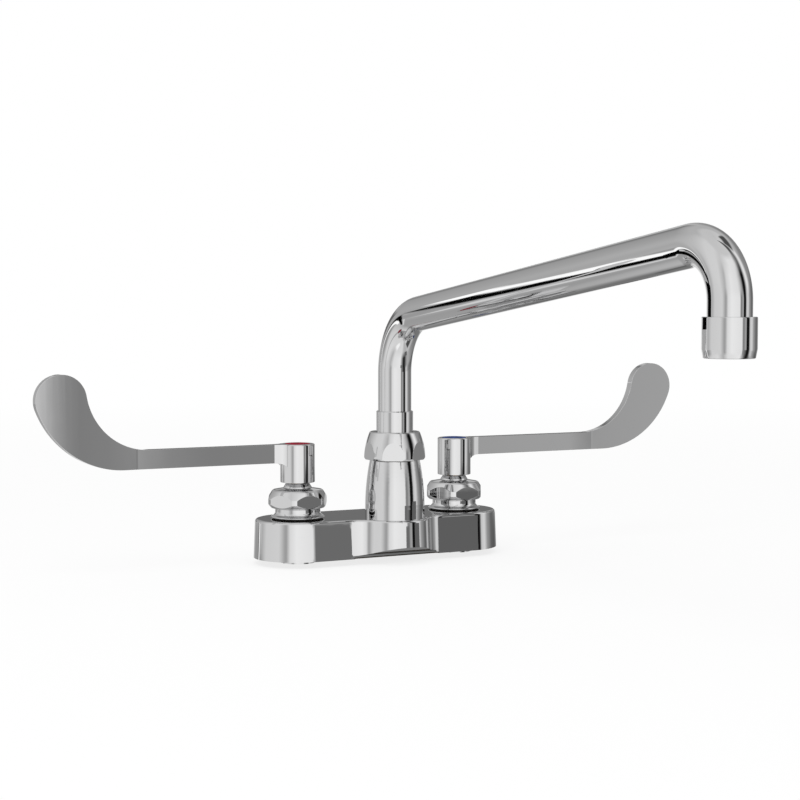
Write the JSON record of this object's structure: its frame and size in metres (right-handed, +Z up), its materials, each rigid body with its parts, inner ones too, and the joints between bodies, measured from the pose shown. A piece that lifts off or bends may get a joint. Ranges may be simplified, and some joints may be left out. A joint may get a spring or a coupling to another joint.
{
  "type": "deck-mount kitchen faucet",
  "caption": "Deck-mount mixing tap with a cast base, two quarter-turn valves with long blade handles, and a swinging tubular spout.",
  "frame": {"origin": "midway between the two valve axes, in the plane of the deck that the base stands on", "axes": "+Z up out of the deck, -Y to the front where the spout points, +X to the cold valve"},
  "size_m": [0.4064, 0.3635, 0.1817],
  "materials": {
    "chrome": "polished",
    "brass": "machined",
    "stainless": "machined",
    "white_ceramic": "lapped",
    "black_rubber": "smooth",
    "dark_washer": "matt",
    "hot_index": "gloss",
    "cold_index": "gloss",
    "white_plastic": "smooth",
    "pale_plastic": "smooth"
  },
  "bodies": {
    "base": {"body_casting": "chrome", "hot_bonnet": "chrome", "hot_bonnet_washer": "dark_washer", "hot_gland_nut": "chrome", "hot_cartridge_sleeve": "brass", "hot_seat_seal": "black_rubber", "hot_fixed_disc": "white_ceramic", "cold_bonnet": "chrome", "cold_bonnet_washer": "dark_washer", "cold_gland_nut": "chrome", "cold_cartridge_sleeve": "brass", "cold_seat_seal": "black_rubber", "cold_fixed_disc": "white_ceramic", "slip_washer": "white_plastic", "spout_nut": "chrome"},
    "hot_valve": {"hot_moving_disc": "white_ceramic", "hot_stem": "brass", "hot_stem_o_rings": "black_rubber", "hot_handle": "chrome", "hot_handle_screw": "stainless", "hot_index_button": "hot_index"},
    "cold_valve": {"cold_moving_disc": "white_ceramic", "cold_stem": "brass", "cold_stem_o_rings": "black_rubber", "cold_handle": "chrome", "cold_handle_screw": "stainless", "cold_index_button": "cold_index"},
    "spout": {"spout_tube": "chrome", "swivel_sleeve": "chrome", "swivel_o_rings": "black_rubber", "split_ring": "brass", "outlet_sleeve": "chrome", "outlet_washer": "black_rubber", "flow_straightener": "pale_plastic", "outlet_screen": "stainless"}
  },
  "joints": [
    {"name": "hot_handle_turn", "type": "hinge", "parent": "base", "child": "hot_valve", "pos_m": [-0.0508, 0, 0], "axis": [0, 0, 1], "range_deg": [0, 90]},
    {"name": "cold_handle_turn", "type": "hinge", "parent": "base", "child": "cold_valve", "pos_m": [0.0508, 0, 0], "axis": [0, 0, -1], "range_deg": [0, 90]},
    {"name": "spout_swing", "type": "hinge", "parent": "base", "child": "spout", "pos_m": [0, -0.0219, 0], "axis": [0, 0, 1], "continuous": true}
  ]
}
